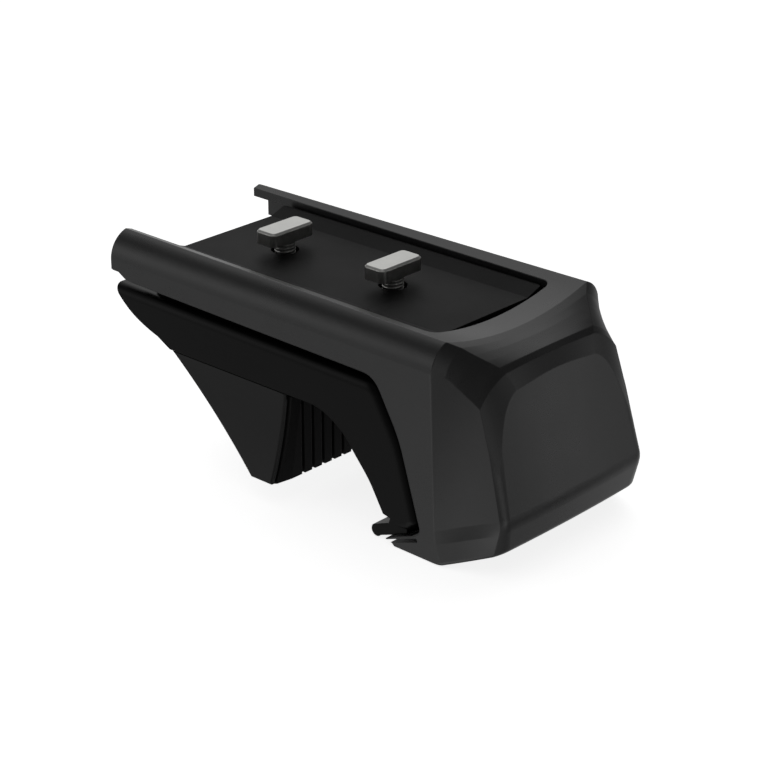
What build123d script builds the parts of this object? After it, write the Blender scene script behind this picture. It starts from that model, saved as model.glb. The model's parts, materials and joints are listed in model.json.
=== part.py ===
from build123d import *
import os

os.makedirs("parts", exist_ok=True)

# Roof bar foot. +X points outboard (towards the nose), +Y along the roof rail,
# +Z up. The origin is on the bar seat, at the top face of the saddle pad.

# ---------------------------------------------------------------- dimensions
# leg
plate_y = 34.0           # outer face of the arch plates
plate_in = 28.5          # inner face of the arch plates
crease_z = -25.6         # lower edge of the arch plate, parallel to X
border_r = 3.0           # rounded outer border of the arch plate
platform_x0, platform_x1 = -62.0, 43.0
platform_y = 30.2
platform_z = -3.0        # top of the platform, under the saddle pad
platform_under = -6.0
end_wall_x0, end_wall_x1 = -63.0, -57.0
thrust_x0, thrust_x1 = 17.0, 26.0
channel_y = 17.2         # half width of the jaw's channel

# clamp bolt and guides
bolt_z = -20.5
bolt_r = 4.0
bolt_head_r = 6.5
bolt_head_l = 8.0
bolt_end_x = -52.0
bush_flange = 1.5
washer_t = 1.6
pin_y = 11.6
pin_r = 2.5
pin_x0, pin_x1 = -66.0, 22.5
run_clear = 0.05         # radial running clearance

# bar fastening
tee_x = (-36.0, 7.0)
tee_r = 3.0
seat_half = 18.0         # half width of the flat bar seat

# jaw
jaw_top = -26.0
jaw_bottom = -52.4
jaw_front = -3.2
flare_top, flare_mid, flare_bot = 33.8, 35.9, 40.0
pad_face = -1.4
rib_pitch = 4.08
rib_groove = 1.2
tongue_x0, tongue_x1 = -41.0, -9.0
tongue_y = 16.8
tongue_top = -12.9
nut_half = 6.5
nut_x0, nut_x1 = -38.0, -31.5
keeper_x0, keeper_x1 = -39.6, -38.1

# cover
cover_x0 = -75.0
wall = 2.6
cover_bottom = -58.0
fold_x = 52.9            # fold where the nose starts to taper
fold_y = 35.6            # half width at that fold
rail_y = 34.0            # half width at the inboard end
bow = 1.25               # bow of the end face
scoop = 0.75             # hollow of the nose's side panels
nose_crease = -42.4      # height of the crease at the nose's corner
nose_crease_h = 2.0      # half height of the crease's roll
crease_x = 74.5          # corner of the nose at the crease
chin = 0.4               # rise of crease and bottom edge towards the front
band_h = 8.6             # height of the tucked band below the crease


# ------------------------------------------------------------------ leg frame
with BuildPart() as leg:
    # side outline of arch plate, claw and hook
    with BuildSketch(Plane.XZ):
        with BuildLine():
            FilletPolyline(
                (-74.2, -11.1), (30.8, -12.4), (39.6, -27.0), (46.8, -50.4), (43.9, -53.5), (33.4, -57.4),
                radius=[6, 40, 1.6, 2.0],
            )
            ThreePointArc((33.4, -57.4), (30.4, -57.2), (30.6, -54.9))
            Polyline((30.6, -54.9), (36.4, -52.6), (37.0, -51.0), (34.3, -50.4))
            Spline(
                (34.3, -50.4), (31.8, -46.2), (29.3, -42.2), (24.1, -36.1), (19.8, -31.3),
                (15.2, -28.1), (11.0, -26.3), (5.0, crease_z),
                tangents=((-0.5, 0.86), (-1, 0)),
            )
            Polyline((5.0, crease_z), (-50.6, crease_z), (-55.8, -22.9))
            Spline(
                (-55.8, -22.9), (-59.8, -21.6), (-64.1, -19.8), (-68.3, -17.3), (-71.7, -14.4),
                (-74.2, -11.1),
                tangents=((-1, 0.26), (-0.45, 0.9)),
            )
        make_face()
    extrude(amount=plate_y, both=True)
    # rounded outer border of both plates, along the top and the outboard edge
    rim = [
        e
        for e in leg.part.edges()
        if abs(abs(e.center().Y) - plate_y) < 0.01
        and (
            (e.center().Z > -20 and e.center().X > -60)
            or (e.center().X > 38.5 and e.center().Z > -56)
        )
    ]
    fillet(rim, radius=border_r)
    # square-edged sole of the claw and its toe
    with BuildSketch(Plane.XZ):
        with BuildLine():
            Polyline(
                (33.6, -57.27), (43.2, -53.7), (43.2, -52.2), (38.2, -52.4), (37.0, -52.9), (31.4, -55.1),
                (31.2, -56.5), (32.2, -57.2), close=True,
            )
        make_face()
    extrude(amount=plate_y, both=True)
    # bar platform between the cover's rails
    with BuildSketch(Plane.XY.offset(platform_z)):
        with Locations(((platform_x0 + platform_x1) / 2, 0)):
            RectangleRounded(platform_x1 - platform_x0, 2 * platform_y, 4.0)
    extrude(amount=-11.0)
    # grooves for the cover's slide ribs
    with BuildSketch(Plane.YZ.offset(-80)):
        with Locations((platform_y + 0.4, -7.8), (-platform_y - 0.4, -7.8)):
            Rectangle(3.2, 2.8)
    extrude(amount=160, mode=Mode.SUBTRACT)
    # inboard end set back between the plates
    with BuildSketch(Plane.XZ):
        with Locations((-73.0, -20.0)):
            Rectangle(20.0, 50.0)
    extrude(amount=plate_in, both=True, mode=Mode.SUBTRACT)
    # channel of the jaw's tongue
    with BuildSketch(Plane.XY.offset(platform_under)):
        with Locations(((end_wall_x1 + thrust_x0) / 2, 0)):
            RectangleRounded(thrust_x0 - end_wall_x1, 2 * channel_y, 1.5)
    extrude(amount=-60, mode=Mode.SUBTRACT)
    # lightening pockets between channel and plates
    with BuildSketch(Plane.XY.offset(-10.8)):
        with Locations((-26.0, 24.1), (-26.0, -24.1)):
            RectangleRounded(54.0, 8.6, 1.5)
    extrude(amount=-40, mode=Mode.SUBTRACT)
    # claw cored from outboard, leaving ribs on each side of the bolt and at mid width
    for y0, y1 in ((-27.0, -19.8), (-17.4, -10.6), (10.6, 17.4), (19.8, 27.0)):
        with BuildSketch(Plane.XZ.offset(-y1)):
            with BuildLine():
                Polyline(
                    (70, -17.5), (31.5, -17.5), (29.0, -24.0), (32.0, -34.5), (38.0, -45.5), (70, -45.5),
                    close=True,
                )
            make_face()
        extrude(amount=y1 - y0, mode=Mode.SUBTRACT)
    # bolt bore and head pocket
    with BuildSketch(Plane.YZ.offset(thrust_x0 - 2)):
        with Locations((0, bolt_z)):
            Circle(6.0)
    extrude(amount=20, mode=Mode.SUBTRACT)
    with BuildSketch(Plane.YZ.offset(thrust_x1)):
        with Locations((0, bolt_z)):
            Circle(8.2)
    extrude(amount=30, mode=Mode.SUBTRACT)
    # guide pin bores
    with BuildSketch(Plane.YZ.offset(-70)):
        with Locations((pin_y, bolt_z), (-pin_y, bolt_z)):
            Circle(pin_r)
    extrude(amount=70 + pin_x1, mode=Mode.SUBTRACT)
    # bar bolt holes
    with BuildSketch(Plane.XY):
        with Locations(*[(x, 0) for x in tee_x]):
            Circle(3.3)
    extrude(amount=-10, mode=Mode.SUBTRACT)
    # recess of the claw liner and of the arch liner
    with BuildSketch(Plane.XZ):
        with BuildLine():
            Polyline((23.4, -37.6), (28.6, -42.9), (32.6, -49.4), (35.2, -47.8), (30.9, -41.1), (25.9, -35.5), close=True)
        make_face()
        with BuildLine():
            Polyline((11.0, -29.5), (11.0, -24.2), (16.2, -26.3), (22.0, -31.0), (18.6, -34.5), close=True)
        make_face()
    extrude(amount=31.0, both=True, mode=Mode.SUBTRACT)
leg.part.label = "leg_frame"
export_step(leg.part, "parts/leg_frame.step")

# --------------------------------------------------------------- rubber pads
# claw liner, flush in its recess
with BuildPart() as claw_pad:
    with BuildSketch(Plane.XZ):
        with BuildLine():
            Polyline((25.9, -35.5), (30.9, -41.1), (35.2, -47.8), (33.4, -48.7), (29.2, -42.3), (24.4, -36.95), close=True)
        make_face()
    extrude(amount=30.9, both=True)
    # shallow grip grooves across the liner
    with BuildSketch(Plane.XZ):
        with Locations(Location((26.15, -39.05), 48), Location((28.2, -41.35), 48), Location((30.6, -44.55), 57),
                       Location((32.1, -46.85), 57)):
            Rectangle(0.9, 1.3)
    extrude(amount=27.0, both=True, mode=Mode.SUBTRACT)
claw_pad.part.label = "claw_pad"
export_step(claw_pad.part, "parts/claw_pad.step")

with BuildPart() as arch_pad:
    with BuildSketch(Plane.XZ):
        with BuildLine():
            Polyline((11.0, -24.2), (16.2, -26.3), (22.0, -31.0), (20.7, -32.3), (15.1, -27.9), (11.0, -26.2), close=True)
        make_face()
    extrude(amount=30.9, both=True)
    # clear of the jaw's channel
    with BuildSketch(Plane.XY.offset(-20)):
        with Locations((thrust_x0 / 2, 0)):
            Rectangle(thrust_x0 + 0.4, 2 * channel_y + 0.4)
    extrude(amount=-30, mode=Mode.SUBTRACT)
arch_pad.part.label = "arch_pad"
export_step(arch_pad.part, "parts/arch_pad.step")

# saddle pad under the bar: flat seat with raised wings
with BuildPart() as bar_pad:
    with BuildSketch(Plane.YZ.offset(-60)):
        with BuildLine():
            Polyline(
                (-24.3, platform_z), (24.3, platform_z), (24.3, 1.9), (23.3, 1.9), (seat_half, 0),
                (-seat_half, 0), (-23.3, 1.9), (-24.3, 1.9), close=True,
            )
        make_face()
    extrude(amount=101.5)
    fillet(bar_pad.part.edges().filter_by(Axis.Z), radius=1.4)
    with BuildSketch(Plane.XY.offset(5)):
        with Locations(*[(x, 0) for x in tee_x]):
            Circle(4.2)
    extrude(amount=-10, mode=Mode.SUBTRACT)
bar_pad.part.label = "bar_pad"
export_step(bar_pad.part, "parts/bar_pad.step")

# ------------------------------------------------------------- bar fastening
with BuildPart() as channel_bolts:
    with BuildSketch(Plane.XY.offset(-12.1)):
        with Locations(*[(x, 0) for x in tee_x]):
            Circle(tee_r)
    extrude(amount=12.1 + 3.6)
    with BuildSketch(Plane.XY.offset(3.4)):
        with Locations(*[(x, 0) for x in tee_x]):
            RectangleRounded(8.0, 17.0, 1.8)
    extrude(amount=4.2)
    chamfer(channel_bolts.part.faces().sort_by(Axis.Z)[-2:].edges(), length=0.6)
    chamfer(channel_bolts.part.faces().sort_by(Axis.Z)[:2].edges(), length=0.6)
channel_bolts.part.label = "channel_bolts"
export_step(channel_bolts.part, "parts/channel_bolts.step")

with BuildPart() as channel_washers:
    with BuildSketch(Plane.XY.offset(platform_under)):
        with Locations(*[(x, 0) for x in tee_x]):
            Circle(6.0)
            Circle(3.2, mode=Mode.SUBTRACT)
    extrude(amount=-1.0)
channel_washers.part.label = "channel_washers"
export_step(channel_washers.part, "parts/channel_washers.step")

with BuildPart() as channel_nuts:
    with BuildSketch(Plane.XY.offset(platform_under - 1.0)):
        with Locations(*[(x, 0) for x in tee_x]):
            RegularPolygon(radius=5.77, side_count=6)
            Circle(3.02, mode=Mode.SUBTRACT)
    extrude(amount=-4.6)
channel_nuts.part.label = "channel_nuts"
export_step(channel_nuts.part, "parts/channel_nuts.step")

# -------------------------------------------------------- clamp bolt and seat
head_x0 = thrust_x1 + bush_flange + washer_t
with BuildPart() as bolt_bush:
    with BuildSketch(Plane.YZ.offset(thrust_x0)):
        with Locations((0, bolt_z)):
            Circle(6.0)
    extrude(amount=thrust_x1 - thrust_x0)
    with BuildSketch(Plane.YZ.offset(thrust_x1)):
        with Locations((0, bolt_z)):
            Circle(7.8)
    extrude(amount=bush_flange)
    with BuildSketch(Plane.YZ.offset(thrust_x0 - 1)):
        with Locations((0, bolt_z)):
            Circle(bolt_r + run_clear)
    extrude(amount=20, mode=Mode.SUBTRACT)
bolt_bush.part.label = "bolt_bush"
export_step(bolt_bush.part, "parts/bolt_bush.step")

with BuildPart() as thrust_washer:
    with BuildSketch(Plane.YZ.offset(thrust_x1 + bush_flange)):
        with Locations((0, bolt_z)):
            Circle(7.6)
            Circle(4.3, mode=Mode.SUBTRACT)
    extrude(amount=washer_t)
thrust_washer.part.label = "thrust_washer"
export_step(thrust_washer.part, "parts/thrust_washer.step")

clip_x0, clip_x1 = thrust_x0 - 1.25, thrust_x0 - 0.15
with BuildPart() as clamp_bolt:
    with BuildSketch(Plane.YZ.offset(bolt_end_x)):
        with Locations((0, bolt_z)):
            Circle(bolt_r)
    extrude(amount=head_x0 + 0.1 - bolt_end_x)
    chamfer(clamp_bolt.part.faces().sort_by(Axis.X)[0].edges(), length=0.9)
    with BuildSketch(Plane.YZ.offset(head_x0 + 0.1)):
        with Locations((0, bolt_z)):
            Circle(bolt_head_r)
    extrude(amount=bolt_head_l)
    chamfer(clamp_bolt.part.faces().sort_by(Axis.X)[-1].edges(), length=0.7)
    # hexagon socket
    with BuildSketch(Plane.YZ.offset(head_x0 + 0.1 + bolt_head_l)):
        with Locations((0, bolt_z)):
            RegularPolygon(radius=3.46, side_count=6)
    extrude(amount=-4.2, mode=Mode.SUBTRACT)
    # groove of the retaining ring
    with BuildSketch(Plane.YZ.offset(clip_x0)):
        with Locations((0, bolt_z)):
            Circle(bolt_r + 1)
            Circle(3.3, mode=Mode.SUBTRACT)
    extrude(amount=clip_x1 - clip_x0, mode=Mode.SUBTRACT)
clamp_bolt.part.label = "clamp_bolt"
export_step(clamp_bolt.part, "parts/clamp_bolt.step")

with BuildPart() as bolt_clip:
    with BuildSketch(Plane.YZ.offset(clip_x0)):
        with Locations((0, bolt_z)):
            Circle(5.8)
            Circle(3.3, mode=Mode.SUBTRACT)
        with Locations((0, bolt_z - 5)):
            Rectangle(5.4, 6.0, mode=Mode.SUBTRACT)
    extrude(amount=clip_x1 - clip_x0)
bolt_clip.part.label = "bolt_clip"
export_step(bolt_clip.part, "parts/bolt_clip.step")

# ------------------------------------------------------------------- guides
with BuildPart() as guide_pins:
    with BuildSketch(Plane.YZ.offset(pin_x0)):
        with Locations((pin_y, bolt_z), (-pin_y, bolt_z)):
            Circle(pin_r)
    extrude(amount=pin_x1 - pin_x0)
    chamfer(guide_pins.part.faces().sort_by(Axis.X)[:2].edges(), length=0.5)
    with BuildSketch(Plane.YZ.offset(end_wall_x0 - 1.0)):
        with Locations((pin_y, bolt_z), (-pin_y, bolt_z)):
            Circle(pin_r + 1)
            Circle(2.0, mode=Mode.SUBTRACT)
    extrude(amount=0.9, mode=Mode.SUBTRACT)
guide_pins.part.label = "guide_pins"
export_step(guide_pins.part, "parts/guide_pins.step")

with BuildPart() as pin_clips:
    with BuildSketch(Plane.YZ.offset(end_wall_x0 - 1.0)):
        with Locations((pin_y, bolt_z), (-pin_y, bolt_z)):
            Circle(4.4)
            Circle(2.0, mode=Mode.SUBTRACT)
        with Locations((pin_y, bolt_z - 3.6), (-pin_y, bolt_z - 3.6)):
            Rectangle(3.4, 4.4, mode=Mode.SUBTRACT)
    extrude(amount=0.9)
pin_clips.part.label = "pin_clips"
export_step(pin_clips.part, "parts/pin_clips.step")

# ---------------------------------------------------------------------- jaw
with BuildPart() as jaw:
    # flared section across the rail direction
    with BuildSketch(Plane.YZ.offset(-60)):
        with BuildLine():
            Line((-flare_top, jaw_top), (flare_top, jaw_top))
            ThreePointArc((flare_top, jaw_top), (flare_mid, (jaw_top + jaw_bottom) / 2), (flare_bot, jaw_bottom))
            Line((flare_bot, jaw_bottom), (-flare_bot, jaw_bottom))
            ThreePointArc((-flare_bot, jaw_bottom), (-flare_mid, (jaw_top + jaw_bottom) / 2), (-flare_top, jaw_top))
        make_face()
    extrude(amount=60 + jaw_front)
    # wedge seen from the side
    with BuildSketch(Plane.XZ):
        with BuildLine():
            Polyline((-50.0, jaw_top), (jaw_front, jaw_top), (jaw_front, jaw_bottom), (-11.7, jaw_bottom), close=True)
        make_face()
    extrude(amount=60, both=True, mode=Mode.INTERSECT)
    # soft outer edges
    soft = [
        e
        for e in jaw.part.edges()
        if abs(e.center().Y) > 34.5 or (abs(e.center().Y) < 1 and e.center().Z < -30)
    ]
    fillet(soft, radius=0.7)
    # hollow from the inboard side, with ribs left standing
    for y0, y1 in ((-30.0, -18.2), (-15.8, -1.4), (1.4, 15.8), (18.2, 30.0)):
        with BuildSketch(Plane.XZ.offset(-y1)):
            with BuildLine():
                Polyline((-70, -30.0), (-9.0, -30.0), (-9.0, -48.2), (-70, -48.2), close=True)
            make_face()
        extrude(amount=y1 - y0, mode=Mode.SUBTRACT)
    # tongue that slides in the leg's channel
    with BuildSketch(Plane.XY.offset(jaw_top - 1)):
        with Locations(((tongue_x0 + tongue_x1) / 2, 0)):
            RectangleRounded(tongue_x1 - tongue_x0, 2 * tongue_y, 1.2)
    extrude(amount=tongue_top - jaw_top + 1)
    # bolt passage, nut pocket and keeper slot
    with BuildSketch(Plane.YZ.offset(-60)):
        with Locations((0, bolt_z)):
            Circle(bolt_r + 0.6)
    extrude(amount=70, mode=Mode.SUBTRACT)
    with BuildSketch(Plane.YZ.offset(tongue_x0 - 1)):
        with Locations((0, bolt_z)):
            Rectangle(2 * nut_half, 2 * nut_half)
    extrude(amount=nut_x1 - tongue_x0 + 1, mode=Mode.SUBTRACT)
    with BuildSketch(Plane.XY.offset(tongue_top + 1)):
        with Locations(((keeper_x0 + keeper_x1) / 2, 0)):
            Rectangle(keeper_x1 - keeper_x0, 15.4)
    extrude(amount=-1 - tongue_top + bolt_z - nut_half + 1 - 1, mode=Mode.SUBTRACT)
    # bush seats
    with BuildSketch(Plane.YZ.offset(tongue_x0 - 1)):
        with Locations((pin_y, bolt_z), (-pin_y, bolt_z)):
            Circle(3.5)
    extrude(amount=7.0, mode=Mode.SUBTRACT)
    with BuildSketch(Plane.YZ.offset(tongue_x1 - 6)):
        with Locations((pin_y, bolt_z), (-pin_y, bolt_z)):
            Circle(3.5)
    extrude(amount=7.0, mode=Mode.SUBTRACT)
    with BuildSketch(Plane.YZ.offset(tongue_x0 - 1)):
        with Locations((pin_y, bolt_z), (-pin_y, bolt_z)):
            Circle(2.9)
    extrude(amount=40.0, mode=Mode.SUBTRACT)
jaw.part.label = "jaw"
export_step(jaw.part, "parts/jaw.step")

with BuildPart() as jaw_bushes:
    for x0 in (tongue_x0, tongue_x1 - 6):
        with BuildSketch(Plane.YZ.offset(x0)):
            with Locations((pin_y, bolt_z), (-pin_y, bolt_z)):
                Circle(3.5)
                Circle(pin_r + run_clear, mode=Mode.SUBTRACT)
        extrude(amount=6.0)
jaw_bushes.part.label = "jaw_bushes"
export_step(jaw_bushes.part, "parts/jaw_bushes.step")

with BuildPart() as jaw_nut:
    with BuildSketch(Plane.YZ.offset(nut_x0)):
        with Locations((0, bolt_z)):
            Rectangle(2 * nut_half - 0.1, 2 * nut_half - 0.1)
            Circle(bolt_r + run_clear, mode=Mode.SUBTRACT)
    extrude(amount=nut_x1 - nut_x0)
jaw_nut.part.label = "jaw_nut"
export_step(jaw_nut.part, "parts/jaw_nut.step")

with BuildPart() as nut_keeper:
    with BuildSketch(Plane.YZ.offset(keeper_x0)):
        with Locations((0, (tongue_top - 0.3 + bolt_z - nut_half) / 2)):
            Rectangle(15.2, tongue_top - 0.3 - bolt_z + nut_half)
        with Locations((0, bolt_z)):
            Circle(bolt_r + 0.6, mode=Mode.SUBTRACT)
        with Locations((0, bolt_z - 5)):
            Rectangle(2 * bolt_r + 1.2, 10, mode=Mode.SUBTRACT)
    extrude(amount=keeper_x1 - keeper_x0)
nut_keeper.part.label = "nut_keeper"
export_step(nut_keeper.part, "parts/nut_keeper.step")

# ribbed rubber facing of the jaw
with BuildPart() as jaw_pad:
    with BuildSketch(Plane.YZ.offset(jaw_front)):
        with BuildLine():
            Line((-flare_top + 1.4, jaw_top - 0.9), (flare_top - 1.4, jaw_top - 0.9))
            ThreePointArc(
                (flare_top - 1.4, jaw_top - 0.9), (flare_mid - 1.4, (jaw_top + jaw_bottom) / 2), (flare_bot - 1.5, jaw_bottom + 0.6)
            )
            Line((flare_bot - 1.5, jaw_bottom + 0.6), (-flare_bot + 1.5, jaw_bottom + 0.6))
            ThreePointArc(
                (-flare_bot + 1.5, jaw_bottom + 0.6), (-flare_mid + 1.4, (jaw_top + jaw_bottom) / 2), (-flare_top + 1.4, jaw_top - 0.9)
            )
        make_face()
    extrude(amount=pad_face - jaw_front)
    # sloped borders beside the ribbed field
    for s in (1, -1):
        with BuildSketch(Plane.XY.offset(jaw_top)):
            with BuildLine():
                Polyline((pad_face + 2, s * 28.9), (pad_face, s * 28.9), (pad_face - 1.0, s * 34.2), (pad_face - 1.0, s * 44), (pad_face + 2, s * 44), close=True)
            make_face()
        with BuildSketch(Plane.XY.offset(jaw_bottom)):
            with BuildLine():
                Polyline((pad_face + 2, s * 33.4), (pad_face, s * 33.4), (pad_face - 1.0, s * 40.2), (pad_face - 1.0, s * 50), (pad_face + 2, s * 50), close=True)
            make_face()
        loft(ruled=True, mode=Mode.SUBTRACT)
    # vertical grip grooves
    with BuildSketch(Plane.XY):
        with Locations(*[(pad_face, i * rib_pitch) for i in range(-7, 8)]):
            Rectangle(2.4, rib_groove)
    extrude(amount=-80, mode=Mode.SUBTRACT)
jaw_pad.part.label = "jaw_pad"
export_step(jaw_pad.part, "parts/jaw_pad.step")

# opening spring around the bolt
spring_r = 4.8
wire_r = 0.5
spring_x0, spring_x1 = tongue_x1 + 0.05, clip_x0 - 0.05
with BuildPart() as jaw_spring:
    turns = 7
    pitch = (spring_x1 - spring_x0 - 2 * wire_r) / turns
    with BuildLine() as coil:
        Helix(
            pitch=pitch, height=pitch * turns, radius=spring_r,
            center=(spring_x0 + wire_r, 0, bolt_z), direction=(1, 0, 0),
        )
    with BuildSketch(Plane(origin=coil.line @ 0, z_dir=coil.line % 0)):
        Circle(wire_r)
    sweep(path=coil.line, is_frenet=True)
jaw_spring.part.label = "jaw_spring"
export_step(jaw_spring.part, "parts/jaw_spring.step")


# -------------------------------------------------------------------- cover
chin_tilt = Vector(1, 0, chin).normalized()


def corner_at(z0):
    # where the nose's leaning corner line meets the chin plane of height z0
    x = (66.0 - 0.27 * (z0 - crease_x * chin + 10.8)) / (1 + 0.27 * chin)
    return x, 28.2 - (z0 + (x - crease_x) * chin + 10.8) * 0.073


def nose_row(k):
    # k: depth below the crease; fold x, corner x and y, corner roll, hollow of
    # the side panel
    h = nose_crease_h
    if k <= -h:
        return [54.6 + 0.15 * k, *corner_at(nose_crease - k), 2.45, scoop]
    cx, cy = corner_at(nose_crease)
    low = [54.6 + 0.15 * h + 0.318 * (k - h), cx - 0.22 * k, cy - 0.06 * k, 2.45 + 0.17 * k, 0.1 - 0.06 * (k - h)]
    if k >= h:
        return low
    # the crease rolls from one slope to the other
    t = (k + h) / (2 * h)
    ends = zip(nose_row(-h), [54.6, cx, cy, 2.45, scoop * 0.8], nose_row(h))
    return [(1 - t) ** 2 * a + 2 * t * (1 - t) * b + t * t * c for a, b, c in ends]


def plan_section(plane, squash, row, inset, x_in, fold_r):
    # side walls, hollow side panels of the nose and its bowed end face, drawn in
    # plan on a level or tilted plane
    fx, sx, sy, roll, sc = row
    sx, sy = sx - inset * 1.1, sy - inset * 0.85
    roll = max(1.2, roll - 0.6 * inset)
    f1x, f1y = fx - inset * 0.15, fold_y - inset
    dx, dy = sx - f1x, sy - f1y
    run = (dx * dx + dy * dy) ** 0.5
    mx, my = (sx + f1x) / 2 + sc * dy / run, (sy + f1y) / 2 - sc * dx / run
    # the corner is crisp on the side panel and rolls softly into the end face
    rx, ry = sx - 0.45 * roll * dx / run, sy - 0.45 * roll * dy / run
    ey = sy - roll
    ex = sx + bow * (1 - (ey / sy) ** 2)
    lean = 2 * bow * ey / (sy * sy)

    def at(x, y):
        return (x - crease_x) / squash, y

    with BuildSketch(plane) as sk:
        with BuildLine():
            Polyline(at(f1x, -f1y), at(x_in, -rail_y + inset), at(x_in, rail_y - inset), at(f1x, f1y))
            ThreePointArc(at(f1x, f1y), at(mx, my), at(rx, ry))
            TangentArc(at(ex, ey), at(rx, ry), tangent=(-lean, 1))
            ThreePointArc(at(ex, ey), at(sx + bow, 0), at(ex, -ey))
            TangentArc(at(ex, -ey), at(rx, -ry), tangent=(-lean, -1))
            ThreePointArc(at(rx, -ry), at(mx, -my), at(f1x, -f1y))
        make_face()
        if fold_r:
            u, v = at(f1x, f1y)
            folds = [w for w in sk.vertices() if abs(w.X - u) < 0.05 and abs(abs(w.Y) - v) < 0.05]
            fillet(folds, radius=fold_r)
    return sk.sketch.faces()[0]


def level_section(z, inset, x_in, fold_r):
    d = z + 10.8
    row = [52.4, 66.0 - d * 0.27, 28.2 - d * 0.073, 3.9, scoop]
    return plan_section(Plane(origin=(crease_x, 0, z)), 1.0, row, inset, x_in, fold_r)


def chin_section(k, inset, x_in, fold_r):
    plane = Plane(
        origin=(crease_x, 0, nose_crease - k),
        x_dir=chin_tilt, z_dir=Vector(-chin_tilt.Z, 0, chin_tilt.X),
    )
    return plan_section(plane, chin_tilt.X, nose_row(k), inset, x_in, fold_r)


# shoulder and saddle sections along the foot: x, outer foot, start, middle and
# end of the shoulder's arc, saddle height on the centre line
stations = [
    (-76.0, (36.3, -16.0), (34.0, -3.8), (32.23, 1.42), (27.65, 4.5), 0.0),
    (fold_x, (37.9, -16.0), (35.613, -3.4), (34.02, 1.48), (29.86, 4.5), 0.0),
    (55.4, (37.9, -12.8), (33.46, -7.58), (30.87, -0.38), (26.65, 2.60), -0.60),
    (58.0, (37.9, -14.6), (32.27, -9.39), (28.69, -2.46), (24.40, 0.60), -1.20),
    (60.5, (37.9, -16.8), (31.36, -10.96), (26.85, -4.24), (22.20, -1.20), -2.00),
    (63.0, (37.9, -19.0), (30.64, -12.32), (25.16, -5.83), (19.95, -3.00), -2.75),
    (64.3, (37.9, -20.5), (30.35, -12.98), (24.29, -6.99), (18.81, -4.60), -3.95),
    (80.0, (38.0, -62.0), (26.34, -52.8), (16.7, -44.2), (5.06, -39.7), -32.3),
]


def top_solid(drop):
    with BuildPart() as p:
        for x, b, c, d, e, zc in stations:
            with BuildSketch(Plane.YZ.offset(x)):
                with BuildLine():
                    Polyline(
                        (c[0], c[1] - drop), (b[0], b[1] - drop), (45, -70), (-45, -70),
                        (-b[0], b[1] - drop), (-c[0], c[1] - drop),
                    )
                    ThreePointArc((-c[0], c[1] - drop), (-d[0], d[1] - drop), (-e[0], e[1] - drop))
                    ThreePointArc((-e[0], e[1] - drop), (0, zc - drop), (e[0], e[1] - drop))
                    ThreePointArc((e[0], e[1] - drop), (d[0], d[1] - drop), (c[0], c[1] - drop))
                make_face()
        loft(ruled=True)
    return p.part


h = nose_crease_h
roll_start = band_h - 1.03
tiers = [
    # leaning end face and side panels
    loft([level_section(8.0, 0, cover_x0, 1.0), chin_section(-h, 0, cover_x0, 1.0)], ruled=True),
    # crease
    loft([chin_section(k, 0, cover_x0, 1.0) for k in (-h, -h / 3, h / 3, h)]),
    # tucked band below it
    loft([chin_section(h, 0, cover_x0, 1.0), chin_section(roll_start, 0, cover_x0, 1.0)], ruled=True),
    # rounded bottom edge
    loft([
        chin_section(band_h - up, more, cover_x0, 1.0)
        for up, more in ((1.03, 0), (0.61, 0.09), (0.27, 0.35), (0.07, 0.72), (0.0, 1.2))
    ], ruled=True),
]
hollow = loft([
    level_section(8.0, wall, cover_x0 - 10, 0),
    chin_section(0, wall, cover_x0 - 10, 0),
    chin_section(band_h - wall * 1.08, wall, cover_x0 - 10, 0),
], ruled=True)
outer_top, inner_top = top_solid(0), top_solid(wall)

with BuildPart() as cavity:
    add(hollow)
    add(inner_top, mode=Mode.INTERSECT)
    # the strip under the claw stays solid
    with BuildSketch(Plane.XY.offset(-50.4)):
        with Locations((-50.4, 0)):
            Rectangle(200, 120)
    extrude(amount=-80, mode=Mode.SUBTRACT)
    with BuildSketch(Plane.XY.offset(cover_bottom + wall)):
        with Locations((0, 0)):
            Rectangle(300, 120)
    extrude(amount=-80, mode=Mode.SUBTRACT)

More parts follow.
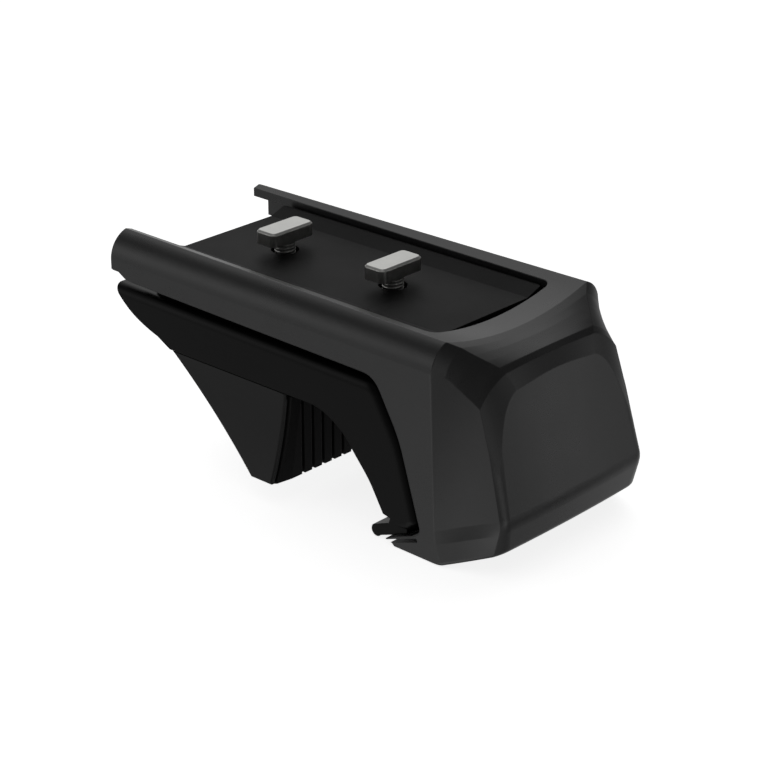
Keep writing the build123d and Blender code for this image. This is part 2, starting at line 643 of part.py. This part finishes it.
with BuildPart() as cover:
    for piece in tiers:
        add(piece)
    add(outer_top, mode=Mode.INTERSECT)
    # level underside, up to where the chin starts to rise
    with BuildSketch(Plane.XY.offset(cover_bottom)):
        with Locations((-20, 0)):
            Rectangle(200, 120)
    extrude(amount=-80, mode=Mode.SUBTRACT)
    add(cavity.part, mode=Mode.SUBTRACT)
    # open between the rails
    with BuildSketch(Plane.XY.offset(20)):
        with Locations(((-90 + 44.0) / 2, 0)):
            RectangleRounded(44.0 + 90, 2 * 25.4, 3.0)
    extrude(amount=-26, mode=Mode.SUBTRACT)
    # arch: the leg's plates show through here
    with BuildSketch(Plane.XZ):
        with BuildLine():
            Polyline((-95, -6.6), (-72.0, -6.6))
            Spline((-72.0, -6.6), (-70.2, -7.4), (-68.6, -8.2), (-66.5, -8.5), tangents=((1, 0), (1, -0.008)))
            FilletPolyline(
                (-66.5, -8.5), (32.2, -9.3), (41.6, -25.2), (49.6, -50.6), (46.2, -53.0), (36.4, -56.7),
                radius=[8, 40, 2.0, 3.0],
            )
            Polyline((36.4, -56.7), (36.4, -80), (-95, -80), (-95, -6.6))
        make_face()
    extrude(amount=60, both=True, mode=Mode.SUBTRACT)
    # slit in each side below the claw
    for side in (1, -1):
        with BuildSketch(Plane.XZ.offset(-side * 22)):
            with BuildLine():
                Polyline((35.0, -58.25), (37.6, -57.5), (47.6, -54.05))
                ThreePointArc((47.6, -54.05), (48.25, -53.35), (47.45, -52.95))
                Polyline((47.45, -52.95), (38.0, -56.45), (35.0, -57.6), (35.0, -58.25))
            make_face()
        extrude(amount=-side * 30, mode=Mode.SUBTRACT)
    # ends of strip and lip, stepped back one under the other
    with BuildSketch(Plane.XZ):
        with BuildLine():
            Polyline((30, -56.0), (36.3, -56.45), (37.2, -57.1), (38.9, -57.25), (39.9, -58.1), (39.9, -60), (30, -60), close=True)
        make_face()
    extrude(amount=60, both=True, mode=Mode.SUBTRACT)
    # slide ribs that run in the platform's grooves
    for s in (1, -1):
        with BuildSketch(Plane.YZ.offset(-66)):
            with Locations((s * 30.75, -7.6)):
                Rectangle(2.5, 1.5)
        extrude(amount=104)
cover.part.label = "outer_cover"
export_step(cover.part, "parts/outer_cover.step")

for piece in (leg, claw_pad, arch_pad, bar_pad, channel_bolts, channel_washers, channel_nuts, bolt_bush,
              thrust_washer, clamp_bolt, bolt_clip, guide_pins, pin_clips, jaw, jaw_bushes, jaw_nut,
              nut_keeper, jaw_pad, jaw_spring, cover):
    print(piece.part.label, len(piece.part.solids()), round(piece.part.volume, 1), piece.part.is_valid)
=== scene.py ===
import json
import math

import bpy
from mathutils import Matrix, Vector


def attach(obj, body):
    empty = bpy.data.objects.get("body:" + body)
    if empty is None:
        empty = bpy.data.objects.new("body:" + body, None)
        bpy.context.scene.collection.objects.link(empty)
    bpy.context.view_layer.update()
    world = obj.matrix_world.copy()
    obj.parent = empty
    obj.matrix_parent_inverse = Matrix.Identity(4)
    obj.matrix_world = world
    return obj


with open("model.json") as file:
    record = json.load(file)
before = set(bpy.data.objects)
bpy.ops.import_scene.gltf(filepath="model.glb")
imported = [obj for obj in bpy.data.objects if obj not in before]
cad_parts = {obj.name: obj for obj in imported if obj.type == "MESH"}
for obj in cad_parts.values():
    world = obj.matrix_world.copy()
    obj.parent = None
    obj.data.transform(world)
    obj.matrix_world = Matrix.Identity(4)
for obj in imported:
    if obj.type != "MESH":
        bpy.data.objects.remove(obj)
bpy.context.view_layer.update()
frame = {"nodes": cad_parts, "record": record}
nodes = frame["nodes"]


# lighting: glow of the floor, level of the room, soft panels (direction, focus, level)
FLOOR_GLOW = 0.95
ROOM = 0.032
PANELS = [
    ((0.21, -0.72, -0.66), 2.0, 0.37),
    ((0.99, -0.08, -0.15), 21.0, 1.00),
    ((-0.02, 0.83, -0.56), 8.7, 0.56),
    ((-0.89, -0.30, -0.35), 11.0, 0.29),
    ((-0.68, -0.68, 0.26), 16.0, 0.90),
    ((0.71, 0.70, -0.02), 40.0, 0.90),
    ((-0.21, -0.75, -0.63), 14.0, 0.88),
    ((-0.45, 0.50, 0.74), 6.0, 1.00),
    ((0.15, -0.35, 0.92), 8.0, 0.28),
    ((-0.80, 0.60, -0.05), 8.0, 0.60),
]


# ------------------------------------------------------------------ materials
def new_material(name):
    m = bpy.data.materials.new(name)
    m.use_nodes = True
    nt = m.node_tree
    nt.nodes.clear()
    out = nt.nodes.new("ShaderNodeOutputMaterial")
    bsdf = nt.nodes.new("ShaderNodeBsdfPrincipled")
    nt.links.new(bsdf.outputs["BSDF"], out.inputs["Surface"])
    return m, nt, bsdf


def coords(nt, scale):
    tc = nt.nodes.new("ShaderNodeTexCoord")
    mp = nt.nodes.new("ShaderNodeMapping")
    mp.inputs["Scale"].default_value = scale if hasattr(scale, "__len__") else (scale, scale, scale)
    nt.links.new(tc.outputs["Object"], mp.inputs["Vector"])
    return mp.outputs["Vector"]


def noise(nt, vec, scale, detail=3.0, rough=0.55):
    n = nt.nodes.new("ShaderNodeTexNoise")
    n.inputs["Scale"].default_value = scale
    n.inputs["Detail"].default_value = detail
    n.inputs["Roughness"].default_value = rough
    nt.links.new(vec, n.inputs["Vector"])
    return n.outputs["Fac"]


def ramp(nt, fac, stops):
    r = nt.nodes.new("ShaderNodeValToRGB")
    el = r.color_ramp.elements
    while len(el) < len(stops):
        el.new(0.5)
    for e, (p, c) in zip(el, stops):
        e.position = p
        e.color = (*c, 1.0) if len(c) == 3 else c
    nt.links.new(fac, r.inputs["Fac"])
    return r.outputs["Color"]


def map_range(nt, fac, lo, hi, a=0.0, b=1.0):
    r = nt.nodes.new("ShaderNodeMapRange")
    r.inputs["From Min"].default_value = a
    r.inputs["From Max"].default_value = b
    r.inputs["To Min"].default_value = lo
    r.inputs["To Max"].default_value = hi
    nt.links.new(fac, r.inputs["Value"])
    return r.outputs["Result"]


def bump(nt, bsdf, height, strength, distance, after=None):
    b = nt.nodes.new("ShaderNodeBump")
    b.inputs["Strength"].default_value = strength
    b.inputs["Distance"].default_value = distance
    nt.links.new(height, b.inputs["Height"])
    if after is not None:
        nt.links.new(after, b.inputs["Normal"])
    nt.links.new(b.outputs["Normal"], bsdf.inputs["Normal"])
    return b.outputs["Normal"]


def grey(v):
    return (v, v, v * 1.01)


def voronoi(nt, vec, scale):
    n = nt.nodes.new("ShaderNodeTexVoronoi")
    n.feature = "F1"
    n.inputs["Scale"].default_value = scale
    nt.links.new(vec, n.inputs["Vector"])
    return n.outputs["Distance"]


def math_node(nt, op, a, b):
    n = nt.nodes.new("ShaderNodeMath")
    n.operation = op
    for k, v in enumerate((a, b)):
        if isinstance(v, (int, float)):
            n.inputs[k].default_value = v
        else:
            nt.links.new(v, n.inputs[k])
    return n.outputs[0]


def edge_mask(nt, radius):
    # soft normal over sharp edges, and a mask that is 1 along those edges
    bevel = nt.nodes.new("ShaderNodeBevel")
    bevel.samples = 6
    bevel.inputs["Radius"].default_value = radius
    geo = nt.nodes.new("ShaderNodeNewGeometry")
    dot = nt.nodes.new("ShaderNodeVectorMath")
    dot.operation = "DOT_PRODUCT"
    nt.links.new(bevel.outputs["Normal"], dot.inputs[0])
    nt.links.new(geo.outputs["Normal"], dot.inputs[1])
    return bevel.outputs["Normal"], map_range(nt, dot.outputs["Value"], 1.0, 0.0, 0.88, 0.995)


def plastic(name, base, spread, rough, grain, depth, spec=0.5, edge_r=0.0004, edge_wear_highlight_gain=0.25, peel=0.0):
    # moulded or coated surface: slow mottling, pitted grain, edges a little smoother and
    # lighter; the lighter edge colour is partly wear and partly a painted highlight
    m, nt, b = new_material(name)
    v = coords(nt, 1.0)
    soft, edge = edge_mask(nt, edge_r)
    big = noise(nt, v, 38.0, 3.0, 0.6)
    mid = noise(nt, v, 260.0, 2.0, 0.5)
    tone = math_node(nt, "ADD", math_node(nt, "MULTIPLY", big, 0.7), math_node(nt, "MULTIPLY", mid, 0.3))
    # painted highlight and wear: the edge mask times noise lightens the colour along edges
    wear_and_highlight = math_node(nt, "MULTIPLY", edge, map_range(nt, mid, 0.5, 1.0, 0.3, 0.7))
    tone = math_node(nt, "ADD", math_node(nt, "MULTIPLY", tone, 0.6), math_node(nt, "MULTIPLY", wear_and_highlight, 0.5))
    stops = [
        (0.18, grey(base * (1 - spread))),
        (0.42, grey(base * (1 + spread))),
        (0.90, grey(base * (1 + spread + edge_wear_highlight_gain))),
    ]
    nt.links.new(ramp(nt, tone, stops), b.inputs["Base Color"])
    fine = noise(nt, v, grain * 1.6, 3.0, 0.6)
    pits = voronoi(nt, v, grain)
    height = math_node(nt, "ADD", math_node(nt, "MULTIPLY", pits, 0.6), math_node(nt, "MULTIPLY", fine, 0.5))
    if peel:
        height = math_node(nt, "ADD", height, math_node(nt, "MULTIPLY", noise(nt, v, 700.0, 1.0, 0.4), peel))
    shine = math_node(nt, "SUBTRACT", map_range(nt, fine, rough - 0.05, rough + 0.05), math_node(nt, "MULTIPLY", wear_and_highlight, 0.06))
    shine = math_node(nt, "ADD", shine, map_range(nt, big, -0.025, 0.025, 0.3, 0.7))
    nt.links.new(shine, b.inputs["Roughness"])
    bump(nt, b, height, 0.35, depth, soft)
    b.inputs["Specular IOR Level"].default_value = spec
    return m


def metal(name, colour, rough, lines=(1.0, 1.0, 1.0), spread=0.08, edge_r=0.00025):
    # plated or bare metal with fine tool marks, edges rubbed bright
    m, nt, b = new_material(name)
    soft, edge = edge_mask(nt, edge_r)
    v = coords(nt, lines)
    marks = noise(nt, v, 520.0, 3.0, 0.6)
    cloud = noise(nt, coords(nt, 1.0), 130.0, 3.0, 0.6)
    tone = math_node(nt, "ADD", math_node(nt, "MULTIPLY", marks, 0.35), math_node(nt, "MULTIPLY", cloud, 0.35))
    tone = math_node(nt, "ADD", tone, math_node(nt, "MULTIPLY", edge, 0.3))
    dark = tuple(c * (1 - spread) for c in colour)
    lite = tuple(min(1.0, c * (1 + spread)) for c in colour)
    worn = tuple(min(1.0, c * (1 + 2.5 * spread)) for c in colour)
    nt.links.new(ramp(nt, tone, [(0.25, dark), (0.5, lite), (0.85, worn)]), b.inputs["Base Color"])
    b.inputs["Metallic"].default_value = 1.0
    nt.links.new(map_range(nt, marks, rough - 0.07, rough + 0.09), b.inputs["Roughness"])
    bump(nt, b, marks, 0.2, 0.00003, soft)
    return m


# the ninth argument of plastic() lightens the colour along edges as wear plus a painted highlight; it is strongest on
# leg, jaw and rubber
MAT = {
    "cover_plastic": plastic("cover_plastic", 0.0150, 0.06, 0.30, 2100.0, 0.00003, 0.5, 0.0004, 0.12),
    "leg_coat": plastic("leg_coat", 0.0012, 0.10, 0.32, 3000.0, 0.00003, 0.13, 0.0005, 0.9, 0.5),
    "jaw_coat": plastic("jaw_coat", 0.0062, 0.08, 0.33, 2600.0, 0.00004, 0.26, 0.0005, 0.8),
    "rubber": plastic("rubber", 0.0034, 0.12, 0.58, 3600.0, 0.00007, 0.15, 0.0004, 0.6),
    "steel": metal("steel", (0.56, 0.56, 0.54), 0.30, (6.0, 1.0, 1.0)),
    "spring_steel": metal("spring_steel", (0.24, 0.24, 0.25), 0.34, (1.0, 1.0, 1.0)),
    "bronze": metal("bronze", (0.52, 0.34, 0.17), 0.40, (6.0, 1.0, 1.0)),
    "bush_plastic": plastic("bush_plastic", 0.52, 0.03, 0.42, 2400.0, 0.00004, 0.5, 0.0003, 0.06),
}
slot_of = {s["node"]: s["material_slot"] for s in frame["record"]["subparts"]}
for name, obj in nodes.items():
    obj.data.materials.clear()
    obj.data.materials.append(MAT[slot_of[name]])

# ------------------------------------------------------------------- fine detail
def add_piece(name, verts, faces, body, slot):
    me = bpy.data.meshes.new(name)
    me.from_pydata([(x / 1000, y / 1000, z / 1000) for x, y, z in verts], [], faces)
    me.update()
    for poly in me.polygons:
        poly.use_smooth = True
    ob = bpy.data.objects.new(name, me)
    bpy.context.scene.collection.objects.link(ob)
    me.materials.append(MAT[slot])
    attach(ob, body)
    return ob


def tube(path, radius, sides=10, side_axis=(0.0, 1.0, 0.0)):
    # closed round bead along a path, in millimetres
    ax = Vector(side_axis)
    pts = [Vector(p) for p in path]
    verts, faces = [], []
    for k, p in enumerate(pts):
        t = (pts[min(k + 1, len(pts) - 1)] - pts[max(k - 1, 0)]).normalized()
        u = (ax - t * ax.dot(t)).normalized()
        w = t.cross(u)
        for q in range(sides):
            a = 2 * math.pi * q / sides
            verts.append(tuple(p + (u * math.cos(a) + w * math.sin(a)) * radius))
    for k in range(len(pts) - 1):
        for q in range(sides):
            a, b = k * sides + q, k * sides + (q + 1) % sides
            faces.append((a, b, b + sides, a + sides))
    last = (len(pts) - 1) * sides
    faces.append(tuple(range(sides - 1, -1, -1)))
    faces.append(tuple(last + q for q in range(sides)))
    return verts, faces


def thread(centre, axis, r_core, r_crest, pitch, length, steps=28):
    # triangular thread ridge around an axis, with closed ends
    ax = Vector(axis).normalized()
    u = ax.orthogonal().normalized()
    w = ax.cross(u)
    n = int(length / pitch * steps)
    verts, faces = [], []
    for k in range(n + 1):
        a = 2 * math.pi * k / steps
        fade = min(1.0, k / steps * 2, (n - k) / steps * 2)
        out = u * math.cos(a) + w * math.sin(a)
        mid = Vector(centre) + ax * (pitch * k / steps)
        crest = r_core + (r_crest - r_core) * max(0.15, fade)
        for off, r in ((-0.44 * pitch, r_core), (-0.06 * pitch, crest), (0.06 * pitch, crest), (0.44 * pitch, r_core)):
            verts.append(tuple(mid + ax * off + out * r))
    for k in range(n):
        for q in range(4):
            a, b = k * 4 + q, k * 4 + (q + 1) % 4
            faces.append((a, b, b + 4, a + 4))
    faces.append((3, 2, 1, 0))
    faces.append(tuple(n * 4 + q for q in range(4)))
    return verts, faces


def arc_path(corners, steps=7):
    # polyline with rounded corners: (x, z, radius)
    pts = [Vector((x, 0.0, z)) for x, z, r in corners]
    path = [pts[0]]
    for k in range(1, len(pts) - 1):
        r = corners[k][2]
        a, b = (pts[k - 1] - pts[k]), (pts[k + 1] - pts[k])
        half = a.angle(b) / 2
        cut = min(r / math.tan(half), 0.45 * a.length, 0.45 * b.length) if r else 0.0
        if not cut:
            path.append(pts[k])
            continue
        s0, s1 = pts[k] + a.normalized() * cut, pts[k] + b.normalized() * cut
        for q in range(steps + 1):
            t = q / steps
            path.append(s0 * (1 - t) ** 2 + pts[k] * 2 * t * (1 - t) + s1 * t * t)
    path.append(pts[-1])
    return path


def dense(path, step):
    out = [path[0]]
    for a, b in zip(path, path[1:]):
        n = max(1, int((b - a).length / step))
        out += [a + (b - a) * (k / n) for k in range(1, n + 1)]
    return out


# rolled lip along the arch edge of the cover's two sides
arch_edge = dense(arc_path([
    (-74.6, -6.6, 0), (-72.0, -6.6, 2.0), (-69.2, -8.1, 2.0), (-66.5, -8.5, 2.0), (32.2, -9.3, 8.0), (41.6, -25.2, 40.0),
    (49.6, -50.6, 2.0), (46.2, -53.0, 2.0), (38.4, -55.95, 0),
]), 3.0)
for side, name in ((-1, "arch_lip_near"), (1, "arch_lip_far")):
    lip = [(p.x, side * (34.0 + (p.x + 75.0) / 127.9 * 1.6 - 0.42), p.z) for p in arch_edge]
    add_piece(name, *tube(lip, 0.40), "cover", "cover_plastic")

# thin bead on the jaw's face, around the ribbed facing
flare = [(33.05, -26.9)]
for k in range(1, 13):
    t = k / 13
    z = -26.0 - 26.4 * t
    flare.append((33.8 + 2.2 * t + 4.0 * t * t - 0.78, z))
bead = [(-3.2, -y, z) for y, z in flare]
bead += [(-3.2, -38.75, -51.3), (-3.2, -38.45, -51.85), (-3.2, -37.9, -52.05)]
bead += [(-3.2, y, -52.05) for y in range(-35, 36, 5)]
bead += [(-3.2, 37.9, -52.05), (-3.2, 38.45, -51.85), (-3.2, 38.75, -51.3)]
bead += [(-3.2, y, z) for y, z in reversed(flare)]
add_piece("jaw_bead", *tube(bead, 0.32, 8, (1.0, 0.0, 0.0)), "jaw", "jaw_coat")

# threads of the clamp bolt and of the two bar bolts
add_piece("clamp_thread", *thread((-51.0, 0.0, -20.5), (1, 0, 0), 3.85, 4.22, 1.25, 62.0), "clamp_bolt", "steel")
for x, name in ((-36.0, "bar_thread_in"), (7.0, "bar_thread_out")):
    add_piece(name, *thread((x, 0.0, -11.6), (0, 0, 1), 2.88, 3.18, 1.0, 14.6), "leg", "steel")

# --------------------------------------------------------------- floor, light
mesh = bpy.data.meshes.new("floor")
mesh.from_pydata([(-4, -4, -0.0585), (4, -4, -0.0585), (4, 4, -0.0585), (-4, 4, -0.0585)], [], [(0, 1, 2, 3)])
floor = bpy.data.objects.new("floor", mesh)
bpy.context.scene.collection.objects.link(floor)
m, nt, b = new_material("floor_glow")
v = coords(nt, 1.0)
n = noise(nt, v, 3.0, 2.0)
pale = ramp(nt, n, [(0.3, (0.86, 0.86, 0.86)), (0.7, (0.88, 0.88, 0.88))])
nt.links.new(pale, b.inputs["Base Color"])
nt.links.new(pale, b.inputs["Emission Color"])
b.inputs["Emission Strength"].default_value = FLOOR_GLOW
b.inputs["Roughness"].default_value = 0.9
# the floor is clear from below, so that the underside can be seen
side = nt.nodes.new("ShaderNodeNewGeometry")
clear = nt.nodes.new("ShaderNodeBsdfTransparent")
mix = nt.nodes.new("ShaderNodeMixShader")
nt.links.new(side.outputs["Backfacing"], mix.inputs["Fac"])
nt.links.new(b.outputs["BSDF"], mix.inputs[1])
nt.links.new(clear.outputs["BSDF"], mix.inputs[2])
nt.links.new(mix.outputs["Shader"], nt.nodes["Material Output"].inputs["Surface"])
floor.data.materials.append(m)
floor.visible_glossy = False

# soft studio surround: a dim room with broad pale panels in a few directions
world = bpy.data.worlds.new("studio")
bpy.context.scene.world = world
world.use_nodes = True
wt = world.node_tree
bg = wt.nodes["Background"]
bg.inputs["Strength"].default_value = 1.0
wdir = wt.nodes.new("ShaderNodeTexCoord").outputs["Generated"]
total = None
for centre, power, gain in PANELS:
    length = math.sqrt(sum(c * c for c in centre))
    dot = wt.nodes.new("ShaderNodeVectorMath")
    dot.operation = "DOT_PRODUCT"
    dot.inputs[1].default_value = [c / length for c in centre]
    wt.links.new(wdir, dot.inputs[0])
    lift = wt.nodes.new("ShaderNodeMath")
    lift.operation = "MAXIMUM"
    lift.inputs[1].default_value = 0.0
    wt.links.new(dot.outputs["Value"], lift.inputs[0])
    sharp = wt.nodes.new("ShaderNodeMath")
    sharp.operation = "POWER"
    sharp.inputs[1].default_value = power
    wt.links.new(lift.outputs[0], sharp.inputs[0])
    add = wt.nodes.new("ShaderNodeMath")
    add.operation = "MULTIPLY_ADD"
    add.inputs[1].default_value = gain
    wt.links.new(sharp.outputs[0], add.inputs[0])
    if total is None:
        add.inputs[2].default_value = ROOM
    else:
        wt.links.new(total, add.inputs[2])
    total = add.outputs[0]
wt.links.new(total, bg.inputs["Color"])

cam_data = bpy.data.cameras.new("camera")
cam_data.lens = 104.9
cam_data.sensor_width = 36.0
cam_data.clip_start = 0.01
cam = bpy.data.objects.new("camera", cam_data)
cam.location = (0.406, -0.43876, 0.2296)
cam.rotation_euler = (math.radians(90 - 23.72), 0.0, math.radians(42.5))
bpy.context.scene.collection.objects.link(cam)
bpy.context.scene.camera = cam
bpy.context.scene.view_settings.view_transform = "Standard"
